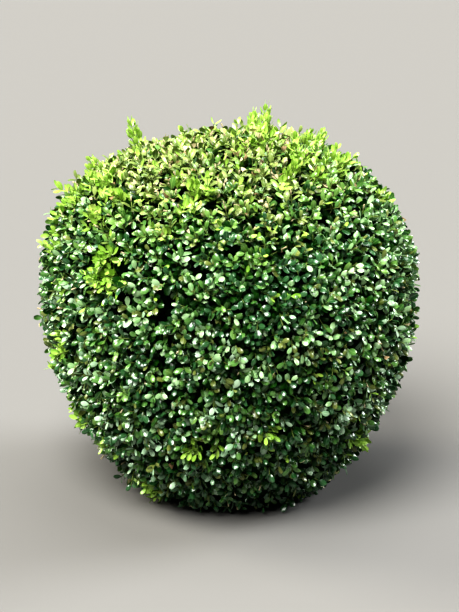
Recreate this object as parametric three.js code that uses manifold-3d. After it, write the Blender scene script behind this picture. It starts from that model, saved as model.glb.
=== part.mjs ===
// A box shrub clipped to a ball, about 0.58 m across, rooted in level ground.
// Millimetres, +Z up. The origin is the centre of the flat cut under the stem, at ground level.
// A short flared stem stands inside the ball. The clipped crown is one mass: a core that stands for the
// packed inner foliage, with twigs that fan out of it and carry crossed pairs of leaves up to the
// surface that the shears left, and tufts of new shoots that stand proud of that surface.

import * as THREE from "three";
import { mergeVertices } from "three/addons/utils/BufferGeometryUtils.js";
import Module from "manifold-3d";

// The clipped ball: widest above its middle, full in the shoulders and drawn in at the foot.
const HALF_WIDTH = 290;
const WIDEST_HEIGHT = 325;
const CROWN_RISE = 225;
const CROWN_DROP = 364;
const SHOULDER_POWER = 2.3;
const FLANK_POWER = 2;
const FOOT_RADIUS = 145;
const LUMP_DEPTH = 4;
const GROUND_GAP = 5;

// The core that the twigs stand out of.
const CORE_DEPTH = 35;
const CORE_FOOT_HEIGHT = 36;
const CORE_DETAIL = 5;
const CORE_ROUGHNESS = 9;

// The short stem inside, from the ground to its fork.
const STEM_FOOT_RADIUS = 23;
const STEM_FORK_RADIUS = 17;
const FORK_HEIGHT = 150;
const FLARE = 9;
const FLARE_HEIGHT = 26;
const BUTTRESSES = 5;
const BUTTRESS_DEPTH = 6;
const STEM_LEAN = new THREE.Vector2(7, -5);
const STEM_CURVE = 1.4;
const STEM_MESH = { sides: 20, rings: 12 };

// The pocket in the crown that keeps it clear of the stem, and 0.3 mm above the fork.
const POCKET_GAP = 3;
const FORK_GAP = 0.3;
const POCKET_MESH = { sides: 14, rings: 6 };

// Limbs by level, from the fork outwards. Each ends at its share of the way to the clipped surface.
const BOUGHS = { count: 9, share: 0.42, radius: 9 };
const BRANCHES = { count: 34, share: 0.72, radius: 4.4 };
const TWIGS = { count: 84, share: 0.975, radius: 3 };
const LIMB_TAPER = 1.5;

// Leaves are larger than life, because each stands for a cluster of the real 20 mm leaves.
const LEAF_WIDTH_SHARE = 0.64;
const LEAF_THICKNESS_SHARE = 0.05;
const LEAF_FOLD_SHARE = 0.05;
const LEAF_WIDEST_AT = 0.56;
const LEAF_RIDGE_AT = 0.48;
const LEAF_SHORTEST = 24;
const LEAF_LONGEST = 70;
const LEAF_ROOT_SUNK = 0.6;
const SPLAY_SPREAD = 5;
const PAIRS = [
  { depth: 26, splay: 74 },
  { depth: 18, splay: 70 },
];

// Tufts of new shoots: where each stands in plan, how many shoots it has and how long they are.
const TUFTS = [
  { x: 53, y: 108, shoots: 3, length: 45 },
  { x: -147, y: 96, shoots: 1, length: 44 },
  { x: 138, y: 62, shoots: 2, length: 25 },
  { x: -209, y: 22, shoots: 1, length: 26 },
  { x: -52, y: -158, shoots: 1, length: 25 },
  { x: 96, y: -92, shoots: 1, length: 22 },
];
const SHOOT_RADIUS = 2.4;
const SHOOT_SPREAD = 22;
const SHOOT_LEAN = 0.35;
const SIDE_SHOOT_SHARE = 0.72;
const SHOOT_LEAF = { length: 25, splay: 34 };
const SHOOT_PAIRS = 2;
const SHOOT_PAIR_GAP = 15;
const SHOOT_TIP = 4;
const SHOOT_ROOTED = 12;

const SEED = 29;
const GOLDEN_ANGLE = Math.PI * (3 - Math.sqrt(5));
const UP = new THREE.Vector3(0, 0, 1);
const EAST = new THREE.Vector3(1, 0, 0);
const CENTRE = new THREE.Vector3(0, 0, WIDEST_HEIGHT);

const wasm = await Module();
wasm.setup();

// Repeatable random numbers from 0 to 1.
function seededRandom(seed) {
  let state = seed;
  return () => {
    state = (state + 0x6d2b79f5) | 0;
    let mixed = Math.imul(state ^ (state >>> 15), 1 | state);
    mixed = (mixed + Math.imul(mixed ^ (mixed >>> 7), 61 | mixed)) ^ mixed;
    return ((mixed ^ (mixed >>> 14)) >>> 0) / 2 ** 32;
  };
}

const random = seededRandom(SEED);
const between = (low, high) => low + (high - low) * random();

// A closed three.js geometry as a solid that can be joined and cut.
function solidOf(geometry) {
  const bare = geometry.clone();
  bare.deleteAttribute("normal");
  bare.deleteAttribute("uv");
  const merged = mergeVertices(bare, 1e-3);
  return new wasm.Manifold(
    new wasm.Mesh({
      numProp: 3,
      vertProperties: new Float32Array(merged.attributes.position.array),
      triVerts: new Uint32Array(merged.index.array),
    }),
  );
}

// A solid back as a geometry for a mesh.
function geometryOf(solid) {
  const mesh = solid.getMesh();
  const geometry = new THREE.BufferGeometry();
  geometry.setAttribute("position", new THREE.BufferAttribute(mesh.vertProperties, 3));
  geometry.setIndex(new THREE.BufferAttribute(mesh.triVerts, 1));
  geometry.computeVertexNormals();
  return geometry;
}

// The gentle lumps that hand shears leave, in mm out from the plain form: broad waves that cross.
function lumps(direction) {
  const { x, y, z } = direction;
  const sidewayWave = Math.sin(5 * x + 0.7) * Math.cos(4 * y - 1.1);
  const upwardWave = Math.sin(7 * z + 3 * x);
  return LUMP_DEPTH * (sidewayWave + 0.6 * upwardWave);
}

// How far the clipped surface is from the ball's centre in a direction.
function clippedDistance(direction) {
  const across = Math.hypot(direction.x, direction.y) / HALF_WIDTH;
  const upper = direction.z > 0;
  const along = Math.abs(direction.z) / (upper ? CROWN_RISE : CROWN_DROP);
  const power = upper ? SHOULDER_POWER : FLANK_POWER;
  return (across ** power + along ** power) ** (-1 / power) + lumps(direction);
}

function pointAt(direction, distance) {
  return CENTRE.clone().addScaledVector(direction, distance);
}

// How deep a point lies under the clipped surface, and negative where it is outside.
function depthOf(point) {
  const offset = point.clone().sub(CENTRE);
  const distance = offset.length();
  return clippedDistance(offset.normalize()) - distance;
}

// The point of the clipped surface straight above or below a place in plan, on the upper half.
function surfaceAbove(x, y) {
  const across = Math.min(Math.hypot(x, y) / HALF_WIDTH, 1);
  const height = CROWN_RISE * (1 - across ** SHOULDER_POWER) ** (1 / SHOULDER_POWER);
  return new THREE.Vector3(x, y, WIDEST_HEIGHT + height);
}

// Rings down the clipped surface from its top to its foot, each with the area above it.
function surfaceRings() {
  const steps = 240;
  const lowest = Math.PI - Math.atan2(FOOT_RADIUS, WIDEST_HEIGHT);
  const rings = [{ polar: 0, area: 0, point: pointAt(UP, clippedDistance(UP)) }];
  for (let step = 1; step <= steps; step += 1) {
    const polar = (lowest * step) / steps;
    const direction = new THREE.Vector3(Math.sin(polar), 0, Math.cos(polar));
    const point = pointAt(direction, clippedDistance(direction));
    const above = rings.at(-1);
    const band = Math.PI * (point.x + above.point.x) * point.distanceTo(above.point);
    rings.push({ polar, area: above.area + band, point });
  }
  return rings;
}

// Directions spread evenly over the clipped surface by area, on a golden spiral from the top to the foot.
function spreadDirections(count) {
  const rings = surfaceRings();
  const wholeArea = rings.at(-1).area;
  return Array.from({ length: count }, (_, i) => {
    const wanted = (wholeArea * (i + 0.5)) / count;
    const { polar } = rings.find((ring) => ring.area >= wanted);
    const azimuth = i * GOLDEN_ANGLE;
    return new THREE.Vector3().setFromSphericalCoords(1, polar, azimuth).applyAxisAngle(EAST, Math.PI / 2);
  });
}

// The stem's radius and centre line at a height: a slow taper, with buttresses that spread at the foot.
function stemRadius(height, azimuth) {
  const taper = THREE.MathUtils.lerp(STEM_FOOT_RADIUS, STEM_FORK_RADIUS, height / FORK_HEIGHT);
  const flare = FLARE + BUTTRESS_DEPTH * Math.cos(BUTTRESSES * azimuth + 0.8);
  return taper + flare * Math.exp(-height / FLARE_HEIGHT);
}

function stemCentre(height) {
  const share = (height / FORK_HEIGHT) ** STEM_CURVE;
  return new THREE.Vector3(STEM_LEAN.x * share, STEM_LEAN.y * share, height);
}

// The stem, or the pocket round it when it is grown sideways, downwards and upwards by margins.
function stemGeometry({ sides, rings }, margin = 0, below = 0, above = 0) {
  const height = FORK_HEIGHT + below + above;
  const geometry = new THREE.CylinderGeometry(1, 1, height, sides, rings).rotateX(Math.PI / 2);
  const position = geometry.attributes.position;
  for (let i = 0; i < position.count; i += 1) {
    const x = position.getX(i);
    const y = position.getY(i);
    const z = position.getZ(i) + height / 2 - below;
    const inside = THREE.MathUtils.clamp(z, 0, FORK_HEIGHT);
    const radius = stemRadius(inside, Math.atan2(y, x)) + margin;
    const centre = stemCentre(inside);
    position.setXYZ(i, centre.x + radius * x, centre.y + radius * y, z);
  }
  return geometry;
}

// The packed inner foliage: the clipped form drawn in by its depth, lightly rough, with a flat underside.
function coreGeometry() {
  const geometry = new THREE.IcosahedronGeometry(1, CORE_DETAIL);
  const position = geometry.attributes.position;
  const direction = new THREE.Vector3();
  for (let i = 0; i < position.count; i += 1) {
    direction.fromBufferAttribute(position, i).normalize();
    const { x, y, z } = direction;
    const ripple = Math.sin(23 * x + 1.7) * Math.sin(21 * y + 0.3) * Math.sin(19 * z + 2.1);
    const depth = CORE_DEPTH - CORE_ROUGHNESS * ripple;
    const point = pointAt(direction, clippedDistance(direction) - depth);
    position.setXYZ(i, point.x, point.y, Math.max(point.z, CORE_FOOT_HEIGHT));
  }
  return geometry;
}

// A three-sided limb that tapers from one point to another.
function limbGeometry(start, end, rootRadius, tipRadius) {
  const axis = end.clone().sub(start);
  const length = axis.length();
  const turn = new THREE.Quaternion().setFromUnitVectors(new THREE.Vector3(0, 1, 0), axis.normalize());
  return new THREE.CylinderGeometry(tipRadius, rootRadius, length, 3, 1)
    .translate(0, length / 2, 0)
    .applyQuaternion(turn)
    .translate(start.x, start.y, start.z);
}

// A leaf of eight faces: its outline runs root, side, tip, side, and its blade is ridged above and below.
function leafGeometry(root, along, face, length) {
  const halfWidth = (length * LEAF_WIDTH_SHARE) / 2;
  const halfThick = (length * LEAF_THICKNESS_SHARE) / 2;
  const fold = length * LEAF_FOLD_SHARE;
  const widest = length * LEAF_WIDEST_AT;
  const ridge = length * LEAF_RIDGE_AT;
  const corners = [
    [-LEAF_ROOT_SUNK, 0, 0],
    [widest, halfWidth, -fold],
    [length, 0, -fold],
    [widest, -halfWidth, -fold],
    [ridge, 0, halfThick],
    [ridge, 0, -halfThick],
  ];
  const faces = [1, 0, 4, 2, 1, 4, 3, 2, 4, 0, 3, 4, 0, 1, 5, 1, 2, 5, 2, 3, 5, 3, 0, 5];
  const geometry = new THREE.BufferGeometry();
  geometry.setAttribute("position", new THREE.Float32BufferAttribute(corners.flat(), 3));
  geometry.setIndex(faces);
  const side = face.clone().cross(along);
  return geometry.applyMatrix4(new THREE.Matrix4().makeBasis(along, side, face).setPosition(root));
}

// Whether a point may be used by foliage: above the ground and clear of the stem's pocket.
function isFree(point) {
  const centre = stemCentre(THREE.MathUtils.clamp(point.z, 0, FORK_HEIGHT));
  const away = Math.hypot(point.x - centre.x, point.y - centre.y);
  const nearStem = point.z < FORK_HEIGHT && away < STEM_FOOT_RADIUS + FLARE;
  return point.z > GROUND_GAP && !nearStem;
}

// A pair of opposite leaves that splay from an outward direction. A leaf that would leave the crown's
// space is skipped.
function leafPair(place, outward, turn, splay, reach) {
  const across = new THREE.Vector3().crossVectors(outward, Math.abs(outward.z) < 0.9 ? UP : EAST);
  across.normalize().applyAxisAngle(outward, turn);
  return [1, -1].flatMap((hand) => {
    const side = across.clone().multiplyScalar(hand);
    const angle = THREE.MathUtils.degToRad(splay + between(-SPLAY_SPREAD, SPLAY_SPREAD));
    const along = outward.clone().multiplyScalar(Math.cos(angle)).addScaledVector(side, Math.sin(angle));
    const face = outward.clone().multiplyScalar(Math.sin(angle)).addScaledVector(side, -Math.cos(angle));
    const length = reach(place, along);
    const tip = place.clone().addScaledVector(along, length);
    return length >= LEAF_SHORTEST && isFree(tip) ? [leafGeometry(place, along, face, length)] : [];
  });
}

// The length at which a leaf's tip comes to the clipped surface, up to the longest leaf.
function lengthToSurface(place, along) {
  let length = 0;
  while (length < LEAF_LONGEST && depthOf(place.clone().addScaledVector(along, length + 1)) > 0) {
    length += 1;
  }
  return length;
}

// Limbs of each level, from the fork out: a limb starts where the nearest limb of the level before ends.
function growLimbs(levels) {
  const grown = [[{ end: stemCentre(FORK_HEIGHT), radius: STEM_FORK_RADIUS }]];
  for (const { count, share, radius } of levels) {
    const parents = grown.at(-1);
    const limbs = spreadDirections(count).map((direction) => {
      const end = pointAt(direction, clippedDistance(direction) * share);
      const nearer = (a, b) => (a.end.distanceToSquared(end) < b.end.distanceToSquared(end) ? a : b);
      const parent = parents.reduce(nearer);
      return { start: parent.end, end, radius, rootRadius: Math.min(parent.radius, radius * LIMB_TAPER) };
    });
    grown.push(limbs.filter(({ end }) => isFree(end)));
  }
  return grown.slice(1);
}

// Pairs of leaves along the outer end of a twig, each pair turned from the last. They face outwards,
// whichever way the twig leans.
function twigLeaves({ start, end }) {
  const axis = end.clone().sub(start).normalize();
  const outward = end.clone().sub(CENTRE).normalize();
  const turn = between(0, Math.PI);
  return PAIRS.flatMap(({ depth, splay }, i) => {
    const place = end.clone().addScaledVector(axis, (depthOf(end) - depth) / axis.dot(outward));
    return leafPair(place, outward, turn + (i * Math.PI) / PAIRS.length, splay, lengthToSurface);
  });
}

// The boughs, branches and twigs that grow from the fork, with leaves on the twigs.
function branchedGeometries() {
  const levels = growLimbs([BOUGHS, BRANCHES, TWIGS]);
  const limbs = levels.flat();
  const wood = limbs.map((limb) => limbGeometry(limb.start, limb.end, limb.rootRadius, limb.radius));
  return [...wood, ...levels.at(-1).flatMap(twigLeaves)];
}

// One new shoot, from inside the core up to its tip, with small leaves held close.
function shootGeometries(foot, length, turn) {
  const outward = foot.clone().sub(CENTRE).normalize();
  const rise = UP.clone().addScaledVector(outward, SHOOT_LEAN).normalize();
  const start = foot.clone().addScaledVector(outward, -CORE_DEPTH - SHOOT_ROOTED);
  const leafRise = SHOOT_LEAF.length * Math.cos(THREE.MathUtils.degToRad(SHOOT_LEAF.splay));
  const end = foot.clone().addScaledVector(rise, length - leafRise + SHOOT_TIP);
  const axis = end.clone().sub(start).normalize();
  const leaves = Array.from({ length: SHOOT_PAIRS }, (_, pair) => {
    const place = end.clone().addScaledVector(axis, -SHOOT_TIP - pair * SHOOT_PAIR_GAP);
    return leafPair(place, axis, turn + (pair * Math.PI) / 2, SHOOT_LEAF.splay, () => SHOOT_LEAF.length);
  });
  return [limbGeometry(start, end, SHOOT_RADIUS * LIMB_TAPER, SHOOT_RADIUS), ...leaves.flat()];
}

// A tuft: its tallest shoot in the middle and the others round it.
function tuftGeometries({ x, y, shoots, length }) {
  return Array.from({ length: shoots }, (_, i) => {
    const away = i === 0 ? 0 : SHOOT_SPREAD;
    const azimuth = i * GOLDEN_ANGLE;
    const foot = surfaceAbove(x + away * Math.cos(azimuth), y + away * Math.sin(azimuth));
    return shootGeometries(foot, i === 0 ? length : length * SIDE_SHOOT_SHARE, azimuth);
  }).flat();
}

// The clipped crown: the core with all its limbs, leaves and tufts fused on, cut clear of the stem.
function crownGeometry() {
  const grown = [...branchedGeometries(), ...TUFTS.flatMap(tuftGeometries)];
  const pieces = [coreGeometry(), ...grown].map(solidOf);
  const pocket = solidOf(stemGeometry(POCKET_MESH, POCKET_GAP, GROUND_GAP, FORK_GAP));
  return geometryOf(wasm.Manifold.union(pieces).subtract(pocket));
}

const bark = new THREE.MeshStandardMaterial({ color: 0x7b6a52, roughness: 0.9, metalness: 0 });
const foliage = new THREE.MeshStandardMaterial({ color: 0x4f7a2c, roughness: 0.45, metalness: 0 });

function namedMesh(name, geometry, material) {
  const mesh = new THREE.Mesh(geometry, material);
  mesh.name = name;
  return mesh;
}

const boxBall = new THREE.Group();
boxBall.add(namedMesh("stem", stemGeometry(STEM_MESH), bark));
boxBall.add(namedMesh("clipped_crown", crownGeometry(), foliage));

export default boxBall;
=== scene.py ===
# %% [markdown]
# # A box shrub clipped to a ball
#
# The real thing is an evergreen shrub with thousands of small leaves, kept by hand shears to a ball: a
# little wider than high, full in the shoulders and narrow at the foot. Only its shell is leafy. Inside
# are bare twigs, branches and one short stem. The lesson sets up the light, works out where every limb
# grows, makes the wood, and then sets the leaves on it.

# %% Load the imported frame
import math

import bpy
import numpy as np
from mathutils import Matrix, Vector


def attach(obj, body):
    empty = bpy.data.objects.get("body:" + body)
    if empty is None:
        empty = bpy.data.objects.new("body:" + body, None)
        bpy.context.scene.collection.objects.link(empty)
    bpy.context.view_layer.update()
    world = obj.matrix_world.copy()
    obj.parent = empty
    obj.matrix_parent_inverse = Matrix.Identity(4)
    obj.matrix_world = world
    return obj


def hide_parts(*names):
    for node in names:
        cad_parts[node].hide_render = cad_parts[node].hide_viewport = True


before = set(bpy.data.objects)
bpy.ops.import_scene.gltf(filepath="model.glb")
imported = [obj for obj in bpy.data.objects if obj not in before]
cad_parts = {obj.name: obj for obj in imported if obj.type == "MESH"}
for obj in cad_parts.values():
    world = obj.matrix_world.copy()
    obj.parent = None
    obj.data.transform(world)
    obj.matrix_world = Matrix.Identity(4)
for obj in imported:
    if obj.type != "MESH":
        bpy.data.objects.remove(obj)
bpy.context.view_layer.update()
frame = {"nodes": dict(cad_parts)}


def in_mm(*corners):
    return [round(1000 * v) for corner in corners for v in corner]


print("solids:", ", ".join(frame["nodes"]))

# %% [markdown]
# ## The camera
#
# The photograph looks down on the ball by about 20 degrees, from 4.6 m away. A long lens from that same
# place keeps its perspective and fills the picture. The camera comes first, so that every later cell can
# be judged through it.

# %% Place the camera
VIEW_ELEVATION = math.radians(20)
VIEW_DISTANCE = 4.6
LENS = 176
AIM = Vector((0, 0, 0.285))


def add_object(name, data):
    made = bpy.data.objects.new(name, data)
    bpy.context.scene.collection.objects.link(made)
    return made


view_back = Vector((0, -math.cos(VIEW_ELEVATION), math.sin(VIEW_ELEVATION)))
camera = add_object("camera", bpy.data.cameras.new("camera"))
camera.data.lens = LENS
camera.location = AIM + view_back * VIEW_DISTANCE
camera.rotation_euler = (-view_back).to_track_quat("-Z", "Y").to_euler()
bpy.context.scene.camera = camera
print("camera at, mm:", in_mm(camera.location), "lens, mm:", LENS)

# %% [markdown]
# ## The floor
#
# The shrub grows in open ground, and a plain pale floor stands in for that. A flat plane is enough to
# carry the shadow. Its own grey is darker than it looks, because the lamps are bright.

# %% Lay the floor
FLOOR_SIZE = 60
FLOOR_LOOK = {"Base Color": (0.134, 0.131, 0.126, 1), "Roughness": 0.9}


def set_inputs(tree, node, values):
    """Each value is for one socket: a plain value, or another node's output to link to it."""
    for key, value in values.items():
        if isinstance(value, bpy.types.NodeSocket):
            tree.links.new(value, node.inputs[key])
        else:
            node.inputs[key].default_value = value


bpy.ops.object.select_all(action="DESELECT")
bpy.ops.mesh.primitive_plane_add(size=FLOOR_SIZE)
floor = bpy.context.object
floor.name = "floor"
floor_paint = bpy.data.materials.new("floor")
floor_paint.use_nodes = True
tree = floor_paint.node_tree
set_inputs(tree, tree.nodes["Principled BSDF"], FLOOR_LOOK)
floor.data.materials.append(floor_paint)
print("floor", FLOOR_SIZE, "m across")

# %% [markdown]
# ## The lamps
#
# Small glossy leaves are drawn by their highlights and by the dark gaps between them. The main light
# comes from high in front and from the left, one from behind on each side edges the rims, and a faint one
# fills the top. Sun lamps with a wide angle are as soft as large studio lamps, and don't fade over the
# floor.

# %% Hang the lamps
# Each lamp: where it shines from, its angle in degrees, its strength and its colour.
LAMPS = {
    "key": ((-1.3, -2.3, 4.0), 38, 6.3, (1.0, 0.99, 0.95)),
    "top": ((0.2, 0.6, 4.0), 34, 1.5, (1.0, 1.0, 1.0)),
    "rim_left": ((-3.1, 1.3, 2.0), 26, 2.7, (1.0, 0.96, 0.84)),
    "rim_right": ((3.1, 1.0, 2.0), 26, 3.2, (0.97, 0.99, 1.0)),
}

for name, (place, angle, strength, colour) in LAMPS.items():
    lamp = add_object(name, bpy.data.lights.new(name, "SUN"))
    lamp.data.angle = math.radians(angle)
    lamp.data.energy = strength
    lamp.data.color = colour
    lamp.location = place
    lamp.rotation_euler = Vector(place).to_track_quat("Z", "Y").to_euler()
    print(name, "lamp", strength, "W per square metre")

# %% [markdown]
# ## The sky
#
# Even light from all sides would fill the gaps and flatten the ball, so the sky's light is weak. Seen
# past the floor it would be a dark wall, so a Light Path node shows the camera a pale backdrop instead.

# %% Raise the sky
SKY = {"Color": (0.86, 0.93, 1.0, 1), "Strength": 0.06}
BACKDROP = {"Color": (1.0, 0.985, 0.945, 1), "Strength": 0.56}


def add_node(tree, kind, values=None, **settings):
    """Adds a node with values for its sockets and settings of its own."""
    node = tree.nodes.new(kind)
    for key, value in settings.items():
        setattr(node, key, value)
    set_inputs(tree, node, values or {})
    return node


world = bpy.data.worlds.new("studio")
world.use_nodes = True
tree = world.node_tree
sky = tree.nodes["Background"]
set_inputs(tree, sky, SKY)
backdrop = add_node(tree, "ShaderNodeBackground", BACKDROP)
seen = add_node(tree, "ShaderNodeLightPath").outputs["Is Camera Ray"]
either = add_node(tree, "ShaderNodeMixShader", {0: seen, 1: sky.outputs[0], 2: backdrop.outputs[0]})
set_inputs(tree, tree.nodes["World Output"], {"Surface": either.outputs[0]})
bpy.context.scene.world = world
bpy.context.scene.view_settings.view_transform = "Standard"
bpy.context.scene.view_settings.look = "High Contrast"
print("sky", SKY["Strength"], "backdrop", BACKDROP["Strength"])

# %% [markdown]
# ## The clipped form
#
# The shears leave one smooth surface, whatever the plant does inside it. It could be a mesh to measure
# against, but a formula is exact and quick: how far the surface lies from the ball's centre in any
# direction. The solid crown was made from the same formula and sizes, so every leaf stays in its space.

# %% Describe the clipped form
HALF_WIDTH = 0.290
WIDEST_HEIGHT = 0.325
CROWN_RISE = 0.225
CROWN_DROP = 0.364
SHOULDER_POWER = 2.3
FLANK_POWER = 2.0
LUMP_DEPTH = 0.004
CENTRE = np.array([0, 0, WIDEST_HEIGHT])
UP = np.array([0.0, 0.0, 1.0])


def lumps(directions):
    x, y, z = directions.T
    sideway_wave = np.sin(5 * x + 0.7) * np.cos(4 * y - 1.1)
    upward_wave = np.sin(7 * z + 3 * x)
    return LUMP_DEPTH * (sideway_wave + 0.6 * upward_wave)


def clipped_distance(directions):
    across = np.hypot(directions[:, 0], directions[:, 1]) / HALF_WIDTH
    upper = directions[:, 2] > 0
    along = np.abs(directions[:, 2]) / np.where(upper, CROWN_RISE, CROWN_DROP)
    power = np.where(upper, SHOULDER_POWER, FLANK_POWER)
    return (across**power + along**power) ** (-1 / power) + lumps(directions)


def surface_points(directions, depth=0):
    return CENTRE + directions * (clipped_distance(directions) - depth)[:, None]


def depth_of(points):
    offsets = points - CENTRE
    distances = np.linalg.norm(offsets, axis=1)
    return clipped_distance(offsets / distances[:, None]) - distances


print("clipped height, mm:", round(1000 * surface_points(UP[None])[0, 2]))

# %% [markdown]
# ## Which way the surface faces
#
# How sunny a shoot is depends on the way the clipped surface faces there. The formula has no faces to
# ask, so two small steps are taken over the surface, and the direction square to both is its normal.

# %% Find the surface normals
EAST = np.array([1.0, 0.0, 0.0])
NEARLY_UPRIGHT = 0.9
NORMAL_STEP = 0.01


def unit(vectors):
    return vectors / np.linalg.norm(vectors, axis=-1, keepdims=True)


def across_pair(vectors):
    """Two directions square to each vector and to each other."""
    helper = np.where(np.abs(vectors[:, 2:]) < NEARLY_UPRIGHT, UP, EAST)
    first = unit(np.cross(vectors, helper))
    return first, np.cross(vectors, first)


def outward_normals(directions):
    here = surface_points(directions)
    steps = [surface_points(unit(directions + NORMAL_STEP * way)) - here for way in across_pair(directions)]
    normals = unit(np.cross(*steps))
    facing = np.sign(np.sum(normals * directions, axis=1, keepdims=True))
    return normals * facing


print("normal at the top:", outward_normals(UP[None])[0].round(2))

# %% [markdown]
# ## Spreading tips over the form
#
# Every twig end needs its own share of the surface. A golden spiral from top to foot, with its turns
# spaced by area, spreads any number of tips evenly. It would show as rows, so each tip is then pushed
# aside a little at random. The seed makes every run the same.

# %% Spread directions by area
GOLDEN_ANGLE = math.pi * (3 - math.sqrt(5))
FOOT_RADIUS = 0.145
RING_STEPS = 400
SEED = 29
random = np.random.default_rng(SEED)

lowest = math.pi - math.atan2(FOOT_RADIUS, WIDEST_HEIGHT)
ring_polar = np.linspace(0, lowest, RING_STEPS + 1)
ring_points = surface_points(np.column_stack([np.sin(ring_polar), 0 * ring_polar, np.cos(ring_polar)]))
band_widths = np.linalg.norm(np.diff(ring_points, axis=0), axis=1)
bands = math.pi * (ring_points[1:, 0] + ring_points[:-1, 0]) * band_widths
area_above = np.concatenate([[0], np.cumsum(bands)])
clipped_area = area_above[-1]


def spread_directions(count, jitter):
    """Directions with an equal area each, pushed aside by a share of their spacing."""
    index = np.arange(count)
    polar = np.interp((index + 0.5) / count * clipped_area, area_above, ring_polar)
    azimuth = index * GOLDEN_ANGLE
    flat = np.sin(polar)
    directions = np.column_stack([flat * np.sin(azimuth), -flat * np.cos(azimuth), np.cos(polar)])
    spacing = math.sqrt(clipped_area / count) / HALF_WIDTH
    first, second = across_pair(directions)
    push = random.normal(0, jitter * spacing, (2, count, 1))
    return unit(directions + push[0] * first + push[1] * second)


print("clipped surface, square metres:", round(clipped_area, 3))

# %% [markdown]
# ## One limb
#
# Wood grows towards the light: a limb leaves its parent in the parent's direction and bends towards its
# own end. A curve with one elbow gives that bend, and arrays bend all the limbs of a level at once. The
# lowest limbs bow down to the ground.

# %% Write the helpers for limbs
GROUND_GAP = 0.005
BEND = 0.45


def bent_paths(starts, headings, ends, steps):
    """Curves that leave along a heading and arrive at an end."""
    reach = np.linalg.norm(ends - starts, axis=1, keepdims=True)
    elbows = starts + headings * reach * BEND
    share = np.linspace(0, 1, steps)[None, :, None]
    first = (1 - share) ** 2 * starts[:, None]
    second = 2 * share * (1 - share) * elbows[:, None]
    return first + second + share**2 * ends[:, None]


def last_headings(paths):
    return unit(paths[:, -1] - paths[:, -2])


def smooth_step(low, high, values):
    share = np.clip((values - low) / (high - low), 0, 1)
    return share * share * (3 - 2 * share)


def bowed_down(points, bow, below):
    """Points under a given height come lower, by the whole bow at the ground."""
    lowered = points.copy()
    lowered[:, 2] -= bow * (1 - smooth_step(0, below, points[:, 2]))
    lowered[:, 2] = np.maximum(lowered[:, 2], GROUND_GAP)
    return lowered


print("a limb bends at", BEND, "of its reach")

# %% [markdown]
# ## Growing the limbs
#
# The rule is the solid crown's own: each level ends at its share of the way to the surface, and each limb
# starts where the nearest limb of the level before ends. Limbs drawn by hand would leave bare places.
# Here the rule goes on to twice as many twigs, and to sprigs.

# %% Grow boughs, branches, twigs and sprigs
FORK_HEIGHT = 0.150
STEM_LEAN = np.array([0.007, -0.005])
SPRIG_DEPTH = 0.040
# Each level: number of limbs, share of the way out, depth under that, spread, bow, bow below, steps.
LEVELS = {
    "boughs": (9, 0.42, 0, 0.12, 0, 1, 9),
    "branches": (34, 0.72, 0, 0.12, 0, 1, 7),
    "twigs": (170, 1, 0.062, 0.35, 0, 1, 6),
    "sprigs": (1150, 1, SPRIG_DEPTH, 0.42, 0.030, 0.120, 4),
}


def nearest(points, targets):
    """For each point, the index of the nearest target."""
    return np.array([np.argmin(np.sum((targets - p) ** 2, axis=1)) for p in points])


limbs = {}
parents = np.array([[[0, 0, 0], [*STEM_LEAN, FORK_HEIGHT]]])
for name, (count, share, depth, jitter, bow, bow_below, steps) in LEVELS.items():
    directions = spread_directions(count, jitter)
    ends = CENTRE + directions * (clipped_distance(directions) * share - depth)[:, None]
    ends = bowed_down(ends, bow, bow_below)
    parent = nearest(ends, parents[:, -1])
    parents = bent_paths(parents[parent, -1], last_headings(parents)[parent], ends, steps)
    limbs[name] = parents
    print(name, len(parents), "lowest end, mm:", round(1000 * ends[:, 2].min()))

# %% [markdown]
# ## Fresh growth and gaps
#
# A clipped ball isn't the same all over. Patches of new shoots stay yellow-green for some weeks, and a
# missing shoot leaves a dark hole. Chance would put them anywhere, so on the seen side they are placed by
# the photograph: x, y, z and reach, in metres.

# %% Place the fresh patches and the gaps
FRESH_PATCHES = [
    (-0.192, -0.047, 0.503, 0.036), (-0.245, -0.020, 0.460, 0.042), (-0.205, -0.120, 0.470, 0.026),
    (-0.165, -0.110, 0.505, 0.026), (-0.272, -0.050, 0.410, 0.030), (-0.060, -0.115, 0.535, 0.022),
    (-0.035, -0.155, 0.525, 0.024), (-0.065, -0.178, 0.508, 0.024), (0.066, -0.148, 0.522, 0.022),
    (-0.185, -0.202, 0.413, 0.050), (0.045, 0.020, 0.550, 0.045), (0.110, -0.020, 0.539, 0.040),
    (0.150, -0.020, 0.524, 0.038), (0.170, 0.000, 0.514, 0.032), (0.125, -0.065, 0.529, 0.024),
    (-0.266, -0.111, 0.345, 0.024), (-0.260, -0.115, 0.265, 0.032), (-0.240, -0.070, 0.125, 0.034),
    (-0.055, -0.248, 0.145, 0.022), (-0.025, -0.250, 0.145, 0.024), (0.060, -0.256, 0.172, 0.018),
    (0.088, -0.258, 0.205, 0.018),
]
GAPS = [(-0.096, -0.267, 0.386, 0.022), (0.120, -0.240, 0.310, 0.016), (0.030, -0.270, 0.235, 0.016)]
PLACE_CORE = 0.55


def closeness(points, places):
    """From 1 in the core of the nearest place to 0 at its edge."""
    found = np.zeros(len(points))
    for x, y, z, reach in places:
        distance = np.linalg.norm(points - (x, y, z), axis=1)
        found = np.maximum(found, 1 - smooth_step(PLACE_CORE * reach, reach, distance))
    return found


print("on the seen side: fresh patches", len(FRESH_PATCHES), "gaps", len(GAPS))

# %% [markdown]
# ## The sides that the photograph hides
#
# The far side is as lively. Its patches and gaps come from the golden spiral and the seed, as many and as
# large as on the seen side.

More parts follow.
